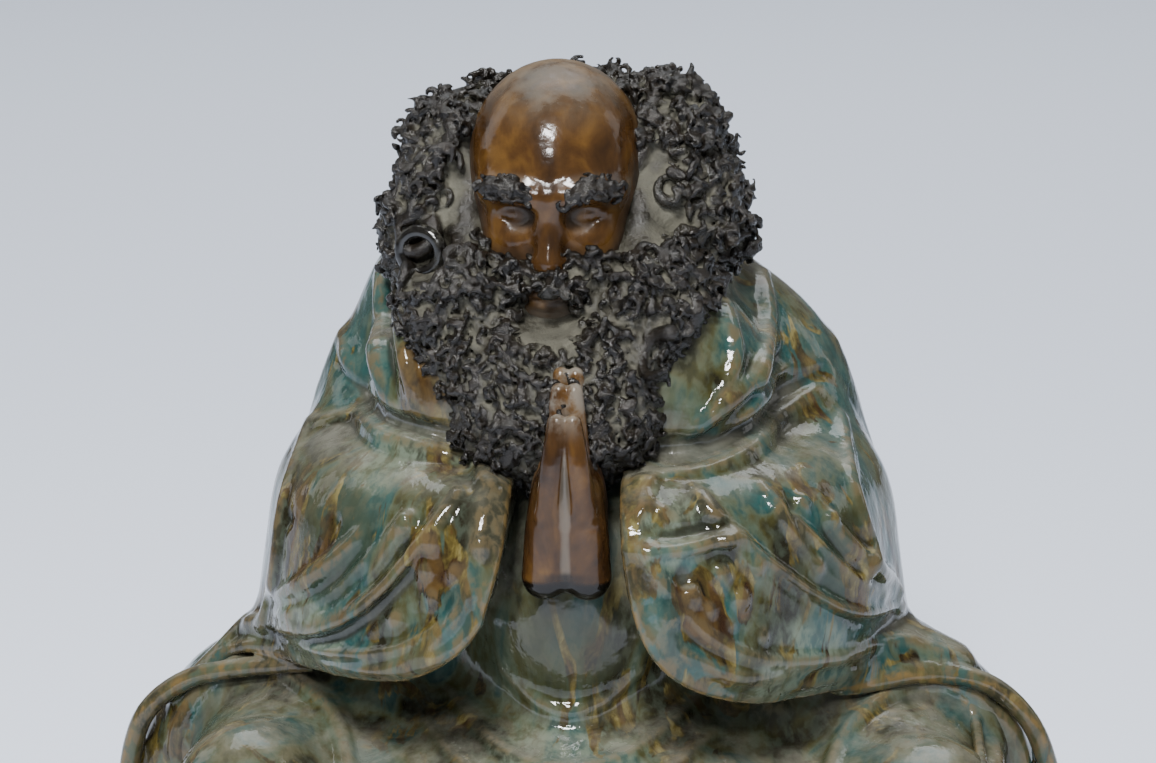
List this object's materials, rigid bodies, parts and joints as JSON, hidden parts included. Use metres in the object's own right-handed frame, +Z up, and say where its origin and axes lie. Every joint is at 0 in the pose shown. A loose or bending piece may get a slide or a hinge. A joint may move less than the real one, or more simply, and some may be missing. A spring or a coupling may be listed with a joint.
{
  "type": "ceramic figurine",
  "caption": "Seated bearded arhat in a wide-sleeved robe, palms pressed together, modelled in clay and finished in mottled flambe glaze, on a low flat base",
  "frame": {"origin": "middle of the flat underside, which rests on the surface it stands on", "axes": "+Z up, +X across the figure's width to the viewer's right, which is the longest extent, -Y towards the viewer that the figure faces"},
  "size_m": [0.2988, 0.1978, 0.2642],
  "materials": {
    "robe_glaze": "glossy flambe glaze, blue-green run with olive and amber, brown where it breaks over edges, dusty in the hollows",
    "flesh_glaze": "thin glossy amber-brown glaze with a grey dust film",
    "hair_glaze": "glossy black-brown glaze over crisp curls, grey dust in the hollows",
    "bare_clay": "unglazed buff stoneware foot"
  },
  "bodies": {
    "root": {"statue": "robe_glaze"}
  },
  "joints": []
}
